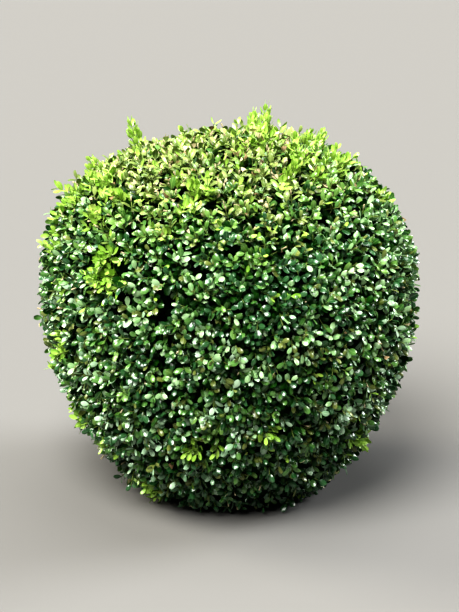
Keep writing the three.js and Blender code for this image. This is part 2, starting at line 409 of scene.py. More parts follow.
# %% Place the hidden patches and gaps
HIDDEN_PATCHES, HIDDEN_PATCH_REACH = 46, (0.016, 0.036)
HIDDEN_GAPS, HIDDEN_GAP_REACH = 30, (0.012, 0.022)
HIDDEN_JITTER = 0.6
SEEN_FROM = unit(np.array([-0.25, -0.95, 0.35]))
HIDDEN_BELOW = 0.15


def on_hidden_side(count, reach):
    directions = spread_directions(count, HIDDEN_JITTER)
    points = surface_points(directions[directions @ SEEN_FROM < HIDDEN_BELOW])
    return np.column_stack([points, random.uniform(*reach, len(points))])


fresh_places = np.concatenate([FRESH_PATCHES, on_hidden_side(HIDDEN_PATCHES, HIDDEN_PATCH_REACH)])
gap_places = np.concatenate([GAPS, on_hidden_side(HIDDEN_GAPS, HIDDEN_GAP_REACH)])
print("in all: fresh patches", len(fresh_places), "gaps", len(gap_places))

# %% [markdown]
# ## Where the shears went and where the plant grew back
#
# Most shoots stop just under the clipped surface, many of them in the pale stub that the shears left.
# Some have grown on since, more on the sunny top and in the fresh patches. So each tip gets its own
# chances, by how sunny its place is and how near a fresh patch.

# %% Set out the shoot tips
SHOOT_COUNT, SHOOT_DEPTH, SHOOT_JITTER = 4000, 0.010, 0.42
SHOOT_BOW = (0.016, 0.085)
DEPTH_SPREAD = 0.0042
SUNWARD = np.array([-0.13, 0.05, 0.99])
SUN_LOW, SUN_HIGH, SUN_SPREAD = 0.58, 1.00, 0.10
REGROWN_SHARE = {"side": 0.03, "top": 0.14, "fresh": 0.75}
REGROWN_REACH = (0.003, 0.014)
TOP_SURGE = 1.2
GAP_DEPTH, GAP_EDGE = 0.030, 0.2
STUB_SHARE = {"side": 0.04, "top": 0.42}
STUB_CLEARANCE = 0.015


def by_sun(shares, sun):
    """A share that goes over from the sides' to the top's."""
    return shares["side"] + (shares["top"] - shares["side"]) * sun


def by_place(shares, sun, fresh):
    """The same, and on towards the share of the fresh patches."""
    share = by_sun(shares, sun)
    return share + (shares["fresh"] - share) * fresh


tip_directions = spread_directions(SHOOT_COUNT, SHOOT_JITTER)
clipped_points = surface_points(tip_directions)
tip_normals = outward_normals(tip_directions)
sunward = tip_normals @ SUNWARD + random.normal(0, SUN_SPREAD, SHOOT_COUNT)
tip_sun = smooth_step(SUN_LOW, SUN_HIGH, sunward)
tip_fresh = closeness(clipped_points, fresh_places)
tip_gap = closeness(clipped_points, gap_places)
outside_gap = tip_gap < GAP_EDGE
tip_regrown = (random.random(SHOOT_COUNT) < by_place(REGROWN_SHARE, tip_sun, tip_fresh)) & outside_gap
tip_depths = SHOOT_DEPTH + random.normal(0, DEPTH_SPREAD, SHOOT_COUNT) + GAP_DEPTH * tip_gap
regrown_reach = random.uniform(*REGROWN_REACH, SHOOT_COUNT) * (1 + TOP_SURGE * tip_fresh * tip_sun)
tip_depths -= np.where(tip_regrown, regrown_reach, 0)
tip_stub = (random.random(SHOOT_COUNT) < by_sun(STUB_SHARE, tip_sun)) & ~tip_regrown & outside_gap
shoot_ends = bowed_down(surface_points(tip_directions, tip_depths), *SHOOT_BOW)
tip_stub &= shoot_ends[:, 2] > STUB_CLEARANCE
print("tips", SHOOT_COUNT, "regrown", tip_regrown.sum(), "stubs", tip_stub.sum())

# %% [markdown]
# ## Growing the shoots
#
# If every shoot grew on from a sprig's end, the shell would be full of tassels. Each leaves the nearest
# sprig part of the way along it instead, and turns out to the light.

# %% Grow the shoots
SHOOT_STEPS = 5
OUTWARD_PULL = 0.5

sprigs = limbs["sprigs"]
parent = nearest(shoot_ends, sprigs[:, -1])
place = random.integers(1, sprigs.shape[1], SHOOT_COUNT)
headings = unit(last_headings(sprigs)[parent] + OUTWARD_PULL * tip_normals)
shoots = bent_paths(sprigs[parent, place], headings, shoot_ends, SHOOT_STEPS)
reach = np.linalg.norm(shoots[:, -1] - shoots[:, 0], axis=1)
print("shoots", len(shoots), "mean reach, mm:", round(1000 * reach.mean()))

# %% [markdown]
# ## Tufts that stand proud
#
# A few shoots stand well above the clipped surface, close together like a plume, and make the notches of
# the outline. Their places and heights come from the photograph, and the solid crown has the same tufts.

# %% Raise the tufts
# Each tuft: x, y, how many stems and how high it stands. Round each stem is a plume of shoots.
TUFTS = np.array([
    (0.053, 0.108, 3, 0.045),
    (-0.147, 0.096, 1, 0.044),
    (0.138, 0.062, 2, 0.025),
    (-0.209, 0.022, 1, 0.026),
    (-0.052, -0.158, 1, 0.025),
    (0.096, -0.092, 1, 0.022),
])
STEM_SPREAD, SIDE_STEM_SHARE = 0.022, 0.72
TUFT_LEAN = 0.35
PLUME_SHOOTS, PLUME_SPREAD, PLUME_TURN = 4, 0.005, 2.4
PLUME_SHORTER = (0.55, 0.9)
TUFT_LEAF_ROOM = 0.008

shoot_counts = TUFTS[:, 2].astype(int) * PLUME_SHOOTS
x, y, _, height = np.repeat(TUFTS, shoot_counts, axis=0).T
in_tuft = np.concatenate([np.arange(count) for count in shoot_counts])
tuft_stem, in_plume = np.divmod(in_tuft, PLUME_SHOOTS)
away = np.where(tuft_stem == 0, 0, STEM_SPREAD)
aside = in_plume**0.5 * PLUME_SPREAD
x = x + away * np.cos(tuft_stem * GOLDEN_ANGLE) + aside * np.cos(in_plume * PLUME_TURN)
y = y + away * np.sin(tuft_stem * GOLDEN_ANGLE) + aside * np.sin(in_plume * PLUME_TURN)
across = np.hypot(x, y) / HALF_WIDTH
z = WIDEST_HEIGHT + CROWN_RISE * (1 - across**SHOULDER_POWER) ** (1 / SHOULDER_POWER)
feet = np.column_stack([x, y, z])
tuft_outward = unit(feet - CENTRE)
rise = unit(UP + TUFT_LEAN * tuft_outward)
shorter = np.where(in_plume == 0, 1, random.uniform(*PLUME_SHORTER, len(in_plume)))
reach = height * np.where(tuft_stem == 0, 1, SIDE_STEM_SHARE) * shorter
tuft_tips = feet + rise * (reach - TUFT_LEAF_ROOM)[:, None]
tuft_shoots = bent_paths(feet - tuft_outward * SPRIG_DEPTH, tuft_outward, tuft_tips, SHOOT_STEPS)
print("tuft shoots", len(tuft_shoots), "highest tip, mm", round(1000 * tuft_tips[:, 2].max()))

# %% [markdown]
# ## Shared nodes
#
# Bark and leaf are each a fine pattern that changes a surface's colour, roughness and relief. A shader
# node group holds such a pattern, so that all its materials share it and differ only in their values. The
# helpers name what the nodes do, so that a group reads like a recipe.

# %% Write the helpers for node groups
COLOUR, NUMBER = "NodeSocketColor", "NodeSocketFloat"
SURFACE = {"Colour": COLOUR, "Roughness": NUMBER, "Normal": "NodeSocketVector"}


def surface_group(name, inputs):
    """A group that puts out a surface. Returns it, its input sockets and the place on the piece."""
    group = bpy.data.node_groups.new(name, "ShaderNodeTree")
    for label, value in inputs.items():
        kind = NUMBER if isinstance(value, float) else COLOUR
        group.interface.new_socket(label, in_out="INPUT", socket_type=kind).default_value = value
    for label, kind in SURFACE.items():
        group.interface.new_socket(label, in_out="OUTPUT", socket_type=kind)
    given = add_node(group, "NodeGroupInput").outputs
    return group, given, add_node(group, "ShaderNodeTexCoord").outputs["Object"]


def noise(tree, place, scale, detail, roughness=0.5):
    values = {"Vector": place, "Scale": scale, "Detail": detail, "Roughness": roughness}
    return add_node(tree, "ShaderNodeTexNoise", values).outputs["Fac"]


def remap(tree, value, low, high, new_low=0.0, new_high=1.0):
    values = dict(enumerate((value, low, high, new_low, new_high)))
    return add_node(tree, "ShaderNodeMapRange", values).outputs[0]


def calculate(tree, operation, *values, clamp=False):
    node = add_node(tree, "ShaderNodeMath", dict(enumerate(values)), operation=operation, use_clamp=clamp)
    return node.outputs[0]


def mix_colour(tree, share, first, second):
    return add_node(tree, "ShaderNodeMix", {0: share, 6: first, 7: second}, data_type="RGBA").outputs[2]


def bump(tree, height, strength, distance):
    values = {"Height": height, "Strength": strength, "Distance": distance}
    return add_node(tree, "ShaderNodeBump", values).outputs[0]


print("each group puts out:", ", ".join(SURFACE))

# %% [markdown]
# ## The pattern of bark
#
# Box bark is pale grey-brown and finely furrowed along the limb, with a little green growth on it. Noise
# stretched upwards gives the furrows, and a slower noise the green.

# %% Draw the furrows
FURROW_STRETCH = (1, 1, 0.22)
GREEN_GROWTH = (0.12, 0.15, 0.05, 1)
BARK_INPUTS = {"Furrow colour": (0.05, 0.04, 0.03, 1), "Ridge colour": (0.3, 0.26, 0.2, 1), "Scale": 60.0}

group, given, place = surface_group("bark_furrows", BARK_INPUTS)
stretched = add_node(group, "ShaderNodeMapping", {"Vector": place, "Scale": FURROW_STRETCH})
furrows = noise(group, stretched.outputs["Vector"], given["Scale"], detail=6.0, roughness=0.65)
ridges = remap(group, furrows, 0.36, 0.66)
green_share = remap(group, noise(group, place, 22.0, detail=3.0), 0.52, 0.75, new_high=0.45)
dry = mix_colour(group, ridges, given["Furrow colour"], given["Ridge colour"])
made = {
    "Colour": mix_colour(group, green_share, dry, GREEN_GROWTH),
    "Roughness": remap(group, furrows, 0.0, 1.0, 0.95, 0.72),
    "Normal": bump(group, ridges, 0.6, 0.0012),
}
add_node(group, "NodeGroupOutput", made)
bark_furrows = group
print("bark nodes:", len(bark_furrows.nodes))

# %% [markdown]
# ## Bark and twig colours
#
# The bark is brown on the stem and branches and olive on the twigs, the newest shoots are green, and a
# fresh cut is straw-coloured. Each is a material with its own two colours in the one pattern, and its
# furrows are finer the thinner the limb.

# %% Mix the bark colours
COAT_ROUGHNESS = 0.2
# Each bark: colour of the furrows, colour of the ridges, scale of the furrows, sheen.
BARKS = {
    "stem_bark": ((0.035, 0.028, 0.020), (0.270, 0.235, 0.180), 70.0, 0.25),
    "branch_bark": ((0.050, 0.040, 0.026), (0.220, 0.190, 0.130), 160.0, 0.25),
    "twig_bark": ((0.070, 0.060, 0.025), (0.200, 0.190, 0.090), 300.0, 0.30),
    "green_twig": ((0.100, 0.140, 0.030), (0.240, 0.310, 0.080), 300.0, 0.40),
    "stub_wood": ((0.300, 0.240, 0.130), (0.680, 0.600, 0.420), 500.0, 0.20),
}


def grouped_material(name, group, given, specular, coat=0.0):
    """A Principled material whose colour, roughness and normal come from a shared group."""
    made = bpy.data.materials.new(name)
    made.use_nodes = True
    tree = made.node_tree
    values = {i: (*value, 1) if isinstance(value, tuple) else value for i, value in enumerate(given)}
    pattern = add_node(tree, "ShaderNodeGroup", values, node_tree=group).outputs
    looks = {
        "Base Color": pattern["Colour"],
        "Roughness": pattern["Roughness"],
        "Normal": pattern["Normal"],
        "Specular IOR Level": specular,
        "Coat Weight": coat,
        "Coat Roughness": COAT_ROUGHNESS,
    }
    set_inputs(tree, tree.nodes["Principled BSDF"], looks)
    return made


bark = {}
for name, (*given, specular) in BARKS.items():
    bark[name] = grouped_material(name, bark_furrows, given, specular)
print("bark materials:", ", ".join(bark))

# %% [markdown]
# ## The stem
#
# The ball hides a short stem with a flat cut at ground level, a flare with a few buttresses, and a slow
# taper to the fork. It could be a tube like the other limbs, but it carries them all, so it is modelled
# by hand: a filled circle is drawn up ring by ring with extrude and scale, and the buttresses are pulled
# out by place.

# %% Model the stem
STEM_FOOT_RADIUS = 0.023
STEM_FORK_RADIUS = 0.017
FLARE, FLARE_HEIGHT = 0.009, 0.026
BUTTRESSES, BUTTRESS_DEPTH, BUTTRESS_TURN = 5, 0.006, 0.8
LEAN_POWER = 1.4
STEM_SIDES, STEM_RINGS = 72, 44


def flare_at(height):
    return math.exp(-height / FLARE_HEIGHT)


def ring_radius(height):
    taper = STEM_FOOT_RADIUS + (STEM_FORK_RADIUS - STEM_FOOT_RADIUS) * height / FORK_HEIGHT
    return taper + FLARE * flare_at(height)


def ring_centre(height):
    return Vector((*STEM_LEAN * (height / FORK_HEIGHT) ** LEAN_POWER, height))


bpy.ops.object.select_all(action="DESELECT")
bpy.ops.mesh.primitive_circle_add(vertices=STEM_SIDES, radius=ring_radius(0), fill_type="NGON")
stem = bpy.context.object
stem.name = "stem_wood"
bpy.ops.object.mode_set(mode="EDIT")
bpy.ops.mesh.select_all(action="SELECT")
heights = [FORK_HEIGHT * ring / STEM_RINGS for ring in range(STEM_RINGS + 1)]
for low, high in zip(heights, heights[1:]):
    rise = ring_centre(high) - ring_centre(low)
    narrower = ring_radius(high) / ring_radius(low)
    bpy.ops.mesh.extrude_region_move(TRANSFORM_OT_translate={"value": rise})
    bpy.ops.transform.resize(value=(narrower, narrower, 1), center_override=ring_centre(high))
bpy.ops.mesh.select_all(action="SELECT")
bpy.ops.mesh.normals_make_consistent(inside=False)
bpy.ops.object.mode_set(mode="OBJECT")

for point in stem.data.vertices:
    away = point.co - ring_centre(point.co.z)
    azimuth = math.atan2(away.y, away.x)
    pull = BUTTRESS_DEPTH * math.cos(BUTTRESSES * azimuth + BUTTRESS_TURN) * flare_at(point.co.z)
    point.co += away.normalized() * pull
print("stem points:", len(stem.data.vertices))

# %% [markdown]
# ## Furrows in the stem
#
# Old bark is furrowed. A bump in the material would vanish at the outline, so a displace modifier gives
# real relief. It fades out towards the cut, which has to stay flat to stand on the ground.

# %% Furrow the stem
RELIEF_SIZE, RELIEF_DETAIL = 0.012, 3
RELIEF_DEPTH, RELIEF_MIDDLE = 0.0045, 0.55
RELIEF_FROM = 0.008
SMOOTH_ANGLE = math.radians(60)


def dress(piece, material, node):
    """Gives a piece its material, says what it rides on, and hides the solid it stands for."""
    piece.data.materials.append(material)
    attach(piece, "root")
    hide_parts(node)
    print(f"{piece.name}: {len(piece.data.polygons)} faces")


texture = bpy.data.textures.new("bark_relief", "CLOUDS")
texture.noise_scale = RELIEF_SIZE
texture.noise_depth = RELIEF_DETAIL
sides = stem.vertex_groups.new(name="bark")
for point in stem.data.vertices:
    sides.add([point.index], min(1, point.co.z / RELIEF_FROM), "REPLACE")
relief = stem.modifiers.new("relief", "DISPLACE")
relief.texture = texture
relief.texture_coords = "LOCAL"
relief.vertex_group = sides.name
relief.strength = RELIEF_DEPTH
relief.mid_level = RELIEF_MIDDLE
bpy.ops.object.modifier_apply(modifier=relief.name)
bpy.ops.object.shade_smooth_by_angle(angle=SMOOTH_ANGLE)
bpy.data.textures.remove(texture)
dress(stem, bark["stem_bark"], "stem")

# %% [markdown]
# ## Joined meshes from arrays
#
# Five thousand limbs and nearly sixty thousand leaves as separate objects would be slow, and lost in an
# export. So each kind is one mesh, written from arrays of points and triangles. A point attribute,
# `tone`, holds a random number for each leaf, to tell neighbours apart, and a UV map, `pattern`, says
# where on the leaf a point is.

# %% Write the helpers for joined meshes
def mesh_from_arrays(name, points, triangles, pattern, tone):
    mesh = bpy.data.meshes.new(name)
    mesh.vertices.add(len(points))
    mesh.vertices.foreach_set("co", points.astype(np.float32).ravel())
    mesh.loops.add(triangles.size)
    mesh.loops.foreach_set("vertex_index", triangles.astype(np.int32).ravel())
    mesh.polygons.add(len(triangles))
    mesh.polygons.foreach_set("loop_start", np.arange(0, triangles.size, 3, dtype=np.int32))
    mesh.update(calc_edges=True)
    layer = mesh.uv_layers.new(name="pattern")
    layer.uv.foreach_set("vector", pattern[triangles.ravel()].astype(np.float32).ravel())
    attribute = mesh.attributes.new("tone", "FLOAT", "POINT")
    attribute.data.foreach_set("value", tone.astype(np.float32))
    mesh.shade_smooth()
    return mesh


def add_piece(mesh, material):
    """A joined mesh as a piece of the crown, under the mesh's own name."""
    dress(add_object(mesh.name, mesh), material, "clipped_crown")


# %% [markdown]
# ## The wood inside
#
# Boughs, branches and twigs show only as dark shapes through the gaps and from below. Curves with a bevel
# would do for a few. As arrays, all the limbs of a level are made at once: round tapered tubes, slightly
# uneven, with more sides where they are thicker.

# %% Write the helpers for tubes
TIP_POINT = 0.6


def tube_triangles(steps, sides):
    """The walls of one tube, its pointed tip, and the flat fan that closes its root."""
    here = np.arange(sides)
    beside = (here + 1) % sides
    last = (steps - 1) * sides
    faces = []
    for low in range(0, last, sides):
        faces.append(np.column_stack([low + here, low + beside, low + sides + beside]))
        faces.append(np.column_stack([low + here, low + sides + beside, low + sides + here]))
    faces.append(np.column_stack([last + here, last + beside, np.full(sides, steps * sides)]))
    fan = np.arange(1, sides - 1)
    faces.append(np.column_stack([0 * fan, fan + 1, fan]))
    return np.concatenate(faces)


def tube_mesh(name, paths, root_radius, tip_radius, sides, roughness=0.0):
    """Tapered round limbs along paths, as one mesh."""
    count, steps = paths.shape[:2]
    headings = unit(np.gradient(paths, axis=1)).reshape(-1, 3)
    first, second = (v.reshape(count, steps, 1, 3) for v in across_pair(headings))
    radius = np.linspace(root_radius, tip_radius, steps)[None, :, None, None]
    angle = np.arange(sides) * 2 * math.pi / sides
    ring = np.cos(angle)[:, None] * first + np.sin(angle)[:, None] * second
    uneven = 1 + roughness * random.uniform(-1, 1, (count, steps, sides, 1))
    walls = paths[:, :, None] + ring * radius * uneven
    tips = paths[:, -1:] + headings.reshape(count, steps, 3)[:, -1:] * tip_radius * TIP_POINT
    points = np.concatenate([walls.reshape(count, -1, 3), tips], axis=1)
    per_tube = points.shape[1]
    triangles = tube_triangles(steps, sides)[None] + np.arange(count)[:, None, None] * per_tube
    tone = np.repeat(random.random(count), per_tube)
    pattern = np.zeros((count * per_tube, 2))
    return mesh_from_arrays(name, points.reshape(-1, 3), triangles.reshape(-1, 3), pattern, tone)


print("triangles of one bough:", len(tube_triangles(steps=9, sides=12)))

# %% [markdown]
# ## From the boughs to the shoots
#
# Each level is thinner than the one that carries it. Each is a piece of its own, so that it can have
# its own bark.

# %% Make the boughs, twigs and shoots
# Each level: radius at the root and at the tip, sides, unevenness, material, slot.
WOOD = {
    "boughs": (0.0085, 0.0050, 12, 0.10, "branch_bark", "bark"),
    "branches": (0.0050, 0.0030, 8, 0.10, "branch_bark", "bark"),
    "twigs": (0.0030, 0.0018, 6, 0.08, "twig_bark", "bark"),
    "sprigs": (0.0017, 0.0012, 4, 0.05, "twig_bark", "bark"),
    "shoots": (0.0011, 0.0007, 3, 0.0, "green_twig", "foliage"),
}

limbs["shoots"] = np.concatenate([shoots, tuft_shoots])
for name, (*shape, material, slot) in WOOD.items():
    add_piece(tube_mesh(name, limbs[name], *shape), bark[material])

# %% [markdown]
# ## Cut stubs
#
# Where the shears took a shoot's tip they left a pale stub with a straw-coloured face. Many stubs give
# the sunny top its cream and tan flecks. Each is a short tube that carries its shoot on past the last
# leaves, where it can be seen.

# %% Leave the cut stubs
STUB_LENGTH = 0.006
STUB_RADIUS = 0.0012
STUB_SIDES = 5
STUB_FROM, STUB_TO = -0.3, 1

cut_shoots = shoots[tip_stub]
stub_reach = np.linspace(STUB_FROM, STUB_TO, 3)[None, :, None] * STUB_LENGTH
stub_paths = cut_shoots[:, -1:] + stub_reach * last_headings(cut_shoots)[:, None]
add_piece(tube_mesh("stubs", stub_paths, STUB_RADIUS, STUB_RADIUS, STUB_SIDES), bark["stub_wood"])

# %% [markdown]
# ## Selecting by place
#
# A leaf is shaped a few points at a time. By hand they would be clicked on. In code they are found by
# their place, selected, and then moved by the same operators.

# %% Write the helpers for modelling
CLOSE = 1e-4


def select_points(thing, test):
    """Selects the mesh points whose place passes the test."""
    bpy.ops.object.mode_set(mode="EDIT")
    bpy.ops.mesh.select_mode(type="VERT")
    bpy.ops.mesh.select_all(action="DESELECT")
    bpy.ops.object.mode_set(mode="OBJECT")
    for point in thing.data.vertices:
        point.select = bool(test(point.co))
    bpy.ops.object.mode_set(mode="EDIT")


def move_points(thing, test, move):
    select_points(thing, test)
    bpy.ops.transform.translate(value=move)


def triangulate():
    bpy.ops.mesh.select_all(action="SELECT")
    bpy.ops.mesh.quads_convert_to_tris()
    bpy.ops.object.mode_set(mode="OBJECT")


print("points within", 1000 * CLOSE, "mm count as in place")

# %% [markdown]
# ## Modelling one leaf
#
# A box leaf is blunt and leathery: an oval, widest past its middle, with a notched tip, a sunk midrib and
# halves that fold down. It could be an image on a card, but a real outline looks right from every side.
# Each kind is shaped once, 1 m long, row by row from a grid with scale and move. It is copied so often
# that it has only fourteen triangles, and six deep inside.

# %% Shape the leaf masters
ROWS = (0.0, 0.28, 0.55, 0.80, 1.0)
FEW_ROWS = (0.0, 0.55, 1.0)
RIB_FROM, RIB_TO = 0.1, 0.9
# Each leaf: where its rows lie, then their half widths and lifts, and its fold, rib drop and notch.
LEAF_SHAPES = {
    "broad": (ROWS, (0.05, 0.235, 0.31, 0.265, 0.11), (0, 0.03, 0.04, 0.02, -0.02), 0.085, 0.005, 0.025),
    "curled": (ROWS, (0.05, 0.215, 0.285, 0.24, 0.12), (0, 0.05, 0.06, 0.01, -0.07), 0.125, 0, 0.02),
    "young": (ROWS, (0.05, 0.18, 0.24, 0.20, 0.08), (0, -0.02, 0.0, 0.04, 0.10), 0.02, 0.05, 0.01),
    "plain": (FEW_ROWS, (0.05, 0.30, 0.10), (0, 0.04, -0.04), 0.05, 0.03, 0),
}


def leaf_master(name, rows, half_widths, lifts, fold, rib_drop, notch):
    """A leaf of length 1 along +Y, with its root closed to one point."""
    bpy.ops.object.select_all(action="DESELECT")
    bpy.ops.mesh.primitive_grid_add(x_subdivisions=2, y_subdivisions=len(rows) - 1, size=1)
    leaf = bpy.context.object
    leaf.name = name
    bpy.ops.object.mode_set(mode="EDIT")
    bpy.ops.transform.translate(value=(0, 0.5, 0))
    plan = zip(np.linspace(0, 1, len(rows))[::-1], rows[::-1], half_widths[::-1], lifts[::-1])
    for old_y, new_y, half_width, lift in plan:
        select_points(leaf, lambda co: abs(co.y - old_y) < CLOSE)
        bpy.ops.transform.resize(value=(2 * half_width, 1, 1))
        bpy.ops.transform.translate(value=(0, new_y - old_y, lift))
    move_points(leaf, lambda co: abs(co.x) > CLOSE, (0, 0, -fold))
    move_points(leaf, lambda co: abs(co.x) < CLOSE and RIB_FROM < co.y < RIB_TO, (0, 0, -rib_drop))
    move_points(leaf, lambda co: abs(co.x) < CLOSE and co.y > RIB_TO, (0, -notch, 0))
    select_points(leaf, lambda co: co.y < CLOSE)
    bpy.ops.mesh.merge(type="CENTER")
    triangulate()
    return leaf


masters = {name: leaf_master(name, *shape) for name, shape in LEAF_SHAPES.items()}
print("leaf masters:", ", ".join(masters))

# %% [markdown]
# ## A leaf that the shears caught
#
# The shears go straight through some leaves, and the slanting edge dries to a straw-coloured line. Cuts
# across a copy of the broad leaf give the part that stays and the strip along the cut, which can then
# have its own colour. All masters are then read into arrays and removed.

# %% Cut a leaf and read the masters
SHEAR_SLANT = Vector((0.18, 1, 0)).normalized()
CUT_FROM, CUT_TO = 0.58, 0.64


def cut_master(name, whole, keep_from, keep_to):
    """The stretch of a leaf between two cuts across it."""
    bpy.ops.object.select_all(action="DESELECT")
    piece = add_object(name, whole.data.copy())
    piece.select_set(True)
    bpy.context.view_layer.objects.active = piece
    bpy.ops.object.mode_set(mode="EDIT")
    for place, below in ((keep_to, True), (keep_from, False)):
        bpy.ops.mesh.select_all(action="SELECT")
        keep = {"clear_outer": below, "clear_inner": not below}
        bpy.ops.mesh.bisect(plane_co=(0, place, 0), plane_no=SHEAR_SLANT, **keep)
    triangulate()
    return piece


def read_master(thing):
    """A master's points, triangles and pattern coordinates. It is then removed."""
    mesh = thing.data
    points = np.array([point.co for point in mesh.vertices], dtype=float)
    triangles = np.array([list(face.vertices) for face in mesh.polygons])
    print(f"{thing.name}: {len(points)} points, {len(triangles)} triangles")
    bpy.data.objects.remove(thing)
    bpy.data.meshes.remove(mesh)
    return points, triangles, points[:, :2] + (0.5, 0)


masters["cut"] = cut_master("cut", masters["broad"], 0.0, CUT_FROM)
masters["cut_edge"] = cut_master("cut_edge", masters["broad"], CUT_FROM, CUT_TO)
MASTERS = {name: read_master(thing) for name, thing in masters.items()}

# %% [markdown]
# ## Places along a shoot
#
# Leaves sit at even gaps back from a shoot's tip. A curve object could give such places for one shoot
# at a time. One walk back over the arrays gives them for all shoots at once.

# %% Write the helpers for places along shoots
SHORTEST_STEP = 1e-6


def along_paths(paths, distance):
    """The point and heading at a distance back from each path's tip, and whether the path is that long."""
    back = paths[:, ::-1]
    moves = np.diff(back, axis=1)
    reach = np.cumsum(np.linalg.norm(moves, axis=2), axis=1)
    from_tip = np.concatenate([np.zeros((len(paths), 1)), reach], axis=1)
    cell = np.clip(np.sum(from_tip <= distance[:, None], axis=1) - 1, 0, reach.shape[1] - 1)
    rows = np.arange(len(paths))
    passed, ahead = from_tip[rows, cell], from_tip[rows, cell + 1]
    share = np.clip((distance - passed) / np.maximum(ahead - passed, SHORTEST_STEP), 0, 1)[:, None]
    here, move = back[rows, cell], moves[rows, cell]
    return here + move * share, unit(-move), distance < reach[:, -1]


print("the first shoot ends at", along_paths(shoots[:1], np.zeros(1))[0].round(3))

# %% [markdown]
# ## Setting out the leaves
#
# Box leaves stand in opposite pairs, each turned a quarter from the last. They lean forward near the tip
# and spread flatter further down, and each blade twists its face to the light, which is why the ball
# glitters. Copies along a curve would miss that twist, so the root, direction, face and length of each
# leaf are worked out.

# %% Write the helpers for leaf pairs
FIRST_PAIR = 0.0015
GAP_SPREAD = (0.85, 1.15)
TURN_SPREAD, SPLAY_SPREAD, LIGHT_SPREAD, LENGTH_SPREAD = 0.15, 0.13, 0.50, 0.10
SKYWARD = 1.05


def all_of(sets):
    return {key: np.concatenate([one[key] for one in sets]) for key in sets[0]}


def picked(source, mask):
    return {key: value[mask] for key, value in source.items()}


def square_to(along, vectors):
    """What is left of the vectors when their share along a direction is taken out."""
    return vectors - np.sum(vectors * along, axis=1, keepdims=True) * along


def leaf_pairs(paths, normals, gap, lengths, splay_range, light_pull):
    """All leaves on a set of shoots, as arrays. The lengths are by pair, from the tip down."""
    count = len(paths)
    splays = np.linspace(*map(math.radians, splay_range), len(lengths))
    turn = random.uniform(0, math.pi, count)
    parts = []
    for pair, (usual_length, usual_splay) in enumerate(zip(lengths, splays)):
        distance = pair * gap * random.uniform(*GAP_SPREAD, count) + FIRST_PAIR
        roots, headings, reaches = along_paths(paths, distance)
        first, second = across_pair(headings)
        angle = turn + pair * math.pi / 2 + random.normal(0, TURN_SPREAD, count)
        for hand in (0, math.pi):
            side = np.cos(angle + hand)[:, None] * first + np.sin(angle + hand)[:, None] * second
            splay = (usual_splay + random.normal(0, SPLAY_SPREAD, count))[:, None]
            along = unit(np.cos(splay) * headings + np.sin(splay) * side)
            face = unit(np.sin(splay) * headings - np.cos(splay) * side)
            light = unit(normals + SKYWARD * UP + random.normal(0, LIGHT_SPREAD, (count, 3)))
            face = unit(square_to(along, face + light_pull * square_to(along, light)))
            part = {"root": roots, "along": along, "face": face, "shoot": np.arange(count)}
            part["length"] = usual_length * random.normal(1, LENGTH_SPREAD, count)
            part["pair"] = np.full(count, pair)
            parts.append(picked(part, reaches))
    return all_of(parts)


print("each pair is turned by 90 degrees, give or take", round(math.degrees(TURN_SPREAD)))

# %% [markdown]
# ## Leaves on the shoots and deep inside
#
# The clipped shoots carry the leaves that are seen. On the wood under them are fewer, larger, plain dark
# leaves, which only keep light from passing through, and whose near-black green is painted shade. A tuft
# holds its leaves up and close, and small at the tip. Splays are measured from the shoot.

# %% Place the leaves
LEAF_LENGTH = 0.0164
# Each: gap between pairs, lengths by pair, splay in degrees from the tip pair to the last, light pull.
CLIPPED = (0.0088, LEAF_LENGTH * np.array([0.78, 0.96, 1.04, 1.06, 1.02]), (40, 66), 1.1)
DEEP = (0.0055, [0.030] * 9, (76, 76), 0.2)
TUFTED = (0.0075, LEAF_LENGTH * np.array([0.62, 0.78, 0.88, 0.95, 1.0]), (22, 44), 0.3)

leaves = leaf_pairs(shoots, tip_normals, *CLIPPED)
deep_limbs = [limbs[name] for name in ("sprigs", "twigs", "branches")]
inner_leaves = all_of([leaf_pairs(paths, unit(paths[:, -1] - CENTRE), *DEEP) for paths in deep_limbs])
tuft_leaves = leaf_pairs(tuft_shoots, tuft_outward, *TUFTED)
for label, placed in (("outer", leaves), ("inner", inner_leaves), ("tuft", tuft_leaves)):
    print(label, "leaves:", len(placed["pair"]))

# %% [markdown]
# ## The foot lies on the ground
#
# The lowest leaves meet the ground. Cut off there they would look sliced, so each leaf that would reach
# into the ground is lifted until it lies on it, as the real ones do.

# %% Lay the lowest leaves on the ground
BLADE_HALF_WIDTH, BLADE_FOLD = 0.31, 0.20
LEAF_CLEARANCE = 0.001


def tip_points(source):
    return source["root"] + source["along"] * source["length"][:, None]


def lowest_points(source):
    """How low each leaf may come, with its half width on edge, or its fold."""
    side = np.cross(source["along"], source["face"])
    droop = BLADE_HALF_WIDTH * np.abs(side[:, 2]) + BLADE_FOLD * np.abs(source["face"][:, 2])
    return np.minimum(source["root"][:, 2], tip_points(source)[:, 2]) - droop * source["length"]


def laid_on_ground(source):
    lift = np.clip((LEAF_CLEARANCE - lowest_points(source)) / source["length"], 0, 1)
    along = unit(source["along"] + lift[:, None] * UP)
    return {**source, "along": along, "face": unit(square_to(along, source["face"]))}


leaves = laid_on_ground(leaves)
inner_leaves = laid_on_ground(inner_leaves)
inner_leaves = picked(inner_leaves, lowest_points(inner_leaves) > 0)
print("inner leaves above the ground:", len(inner_leaves["pair"]))

# %% [markdown]
# ## Which leaves the shears caught
#
# A leaf that reaches past the clipped surface was in the way of the shears, unless its shoot grew after
# they passed. Most such leaves show a cut on the top, and few on the sides. One that isn't cut but would
# stand far out is made shorter.

# %% Cut the leaves that stand out
CUT_TOLERANCE = 0.004
CUT_SHARE = {"side": 0.10, "top": 0.85}
SHORTENED = 0.72

shoot, pair = leaves["shoot"], leaves["pair"]
leaf_sun = tip_sun[shoot]
leaf_count = len(pair)


def lucky(chance):
    """True for a random share of the leaves."""
    return random.random(leaf_count) < chance


